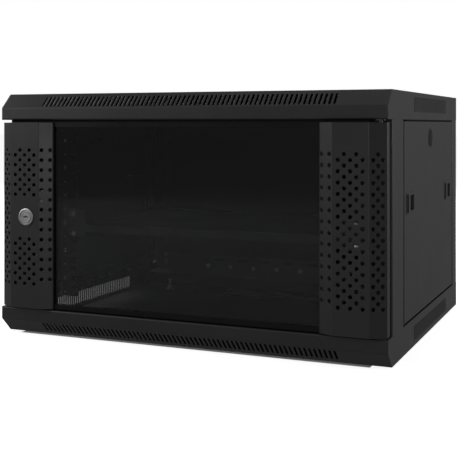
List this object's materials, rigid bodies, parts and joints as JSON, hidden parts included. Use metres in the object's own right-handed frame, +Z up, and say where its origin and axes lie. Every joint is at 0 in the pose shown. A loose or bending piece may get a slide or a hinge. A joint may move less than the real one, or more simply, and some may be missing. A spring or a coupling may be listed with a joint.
{
  "type": "network rack cabinet",
  "caption": "Wall-mount 19-inch network rack cabinet with a lockable glass door between perforated stiles, vented caps, lift-off side panels, rails and a shelf.",
  "frame": {"origin": "middle of the underside", "axes": "+X to the hinge side of the door, +Y from the door to the back, +Z up"},
  "size_m": [0.6, 0.55, 0.368],
  "materials": {
    "powder_coat": "fine-textured satin black powder coat",
    "rack_steel": "satin black powder coat",
    "tinted_glass": "toughened smoke-tinted glass",
    "gasket_rubber": "soft black rubber",
    "lock_chrome": "satin chrome",
    "latch_plastic": "fine-grained black plastic",
    "slider_plastic": "smooth black plastic",
    "bush_nylon": "black nylon",
    "zinc_steel": "bright zinc plate"
  },
  "bodies": {
    "frame": {"top_cover": "powder_coat", "bottom_cover": "powder_coat", "top_fascia": "powder_coat", "bottom_fascia": "powder_coat", "left_front_post": "powder_coat", "right_front_post": "powder_coat", "left_rear_post": "powder_coat", "right_rear_post": "powder_coat", "back_panel": "powder_coat", "roof_entry_plate": "powder_coat", "left_front_rail": "rack_steel", "right_front_rail": "rack_steel", "left_rear_rail": "rack_steel", "right_rear_rail": "rack_steel", "left_lower_bracket": "rack_steel", "right_lower_bracket": "rack_steel", "left_upper_bracket": "rack_steel", "right_upper_bracket": "rack_steel", "rear_cable_bar": "rack_steel", "shelf": "rack_steel", "floor_entry_edging": "gasket_rubber", "hinge_bushes": "bush_nylon", "shelf_screws": "zinc_steel", "cage_nuts": "zinc_steel", "rail_bolts": "zinc_steel", "bracket_bolts": "zinc_steel", "bracket_tab_bolts": "zinc_steel", "back_panel_screws": "zinc_steel", "cable_bar_screws": "zinc_steel", "roof_plate_screws": "zinc_steel", "earth_stud": "zinc_steel", "earth_nut": "zinc_steel"},
    "door": {"door_hinge_stile": "powder_coat", "door_lock_stile": "powder_coat", "door_top_rail": "powder_coat", "door_bottom_rail": "powder_coat", "door_glass": "tinted_glass", "glass_gasket": "gasket_rubber", "left_glass_retainer": "powder_coat", "right_glass_retainer": "powder_coat", "hinge_blocks": "zinc_steel", "lower_hinge_pin": "zinc_steel", "lock_body": "lock_chrome", "lock_nut": "zinc_steel"},
    "hinge_pin": {"upper_hinge_pin": "zinc_steel"},
    "lock": {"lock_barrel": "lock_chrome", "lock_cam": "zinc_steel", "cam_screw": "zinc_steel"},
    "left_panel": {"left_side_panel": "powder_coat", "left_panel_plug": "latch_plastic", "left_front_latch_housing": "latch_plastic", "left_rear_latch_housing": "latch_plastic"},
    "right_panel": {"right_side_panel": "powder_coat", "right_panel_plug": "latch_plastic", "right_front_latch_housing": "latch_plastic", "right_rear_latch_housing": "latch_plastic"},
    "left_front_latch": {"left_front_latch_slider": "slider_plastic"},
    "left_rear_latch": {"left_rear_latch_slider": "slider_plastic"},
    "right_front_latch": {"right_front_latch_slider": "slider_plastic"},
    "right_rear_latch": {"right_rear_latch_slider": "slider_plastic"}
  },
  "joints": [
    {"name": "door_hinge", "type": "hinge", "parent": "frame", "child": "door", "pos_m": [0.288, -0.2544, 0.184], "axis": [0, 0, 1], "range_deg": [0, 135]},
    {"name": "hinge_pin_release", "type": "slide", "parent": "door", "child": "hinge_pin", "axis": [0, 0, -1], "range_m": [0, 0.0095], "stiffness_N_per_m": 300, "springref_m": -0.003},
    {"name": "lock_turn", "type": "hinge", "parent": "door", "child": "lock", "pos_m": [-0.249, -0.2624, 0.1808], "axis": [0, -1, 0], "range_deg": [0, 90]},
    {"name": "left_panel_lift_off", "type": "slide", "parent": "frame", "child": "left_panel", "axis": [-1, 0, 0], "range_m": [0, 0.15]},
    {"name": "right_panel_lift_off", "type": "slide", "parent": "frame", "child": "right_panel", "axis": [1, 0, 0], "range_m": [0, 0.15]},
    {"name": "left_front_latch_throw", "type": "slide", "parent": "left_panel", "child": "left_front_latch", "axis": [0, -1, 0], "range_m": [0, 0.009]},
    {"name": "left_rear_latch_throw", "type": "slide", "parent": "left_panel", "child": "left_rear_latch", "axis": [0, 1, 0], "range_m": [0, 0.009]},
    {"name": "right_front_latch_throw", "type": "slide", "parent": "right_panel", "child": "right_front_latch", "axis": [0, -1, 0], "range_m": [0, 0.009]},
    {"name": "right_rear_latch_throw", "type": "slide", "parent": "right_panel", "child": "right_rear_latch", "axis": [0, 1, 0], "range_m": [0, 0.009]}
  ]
}
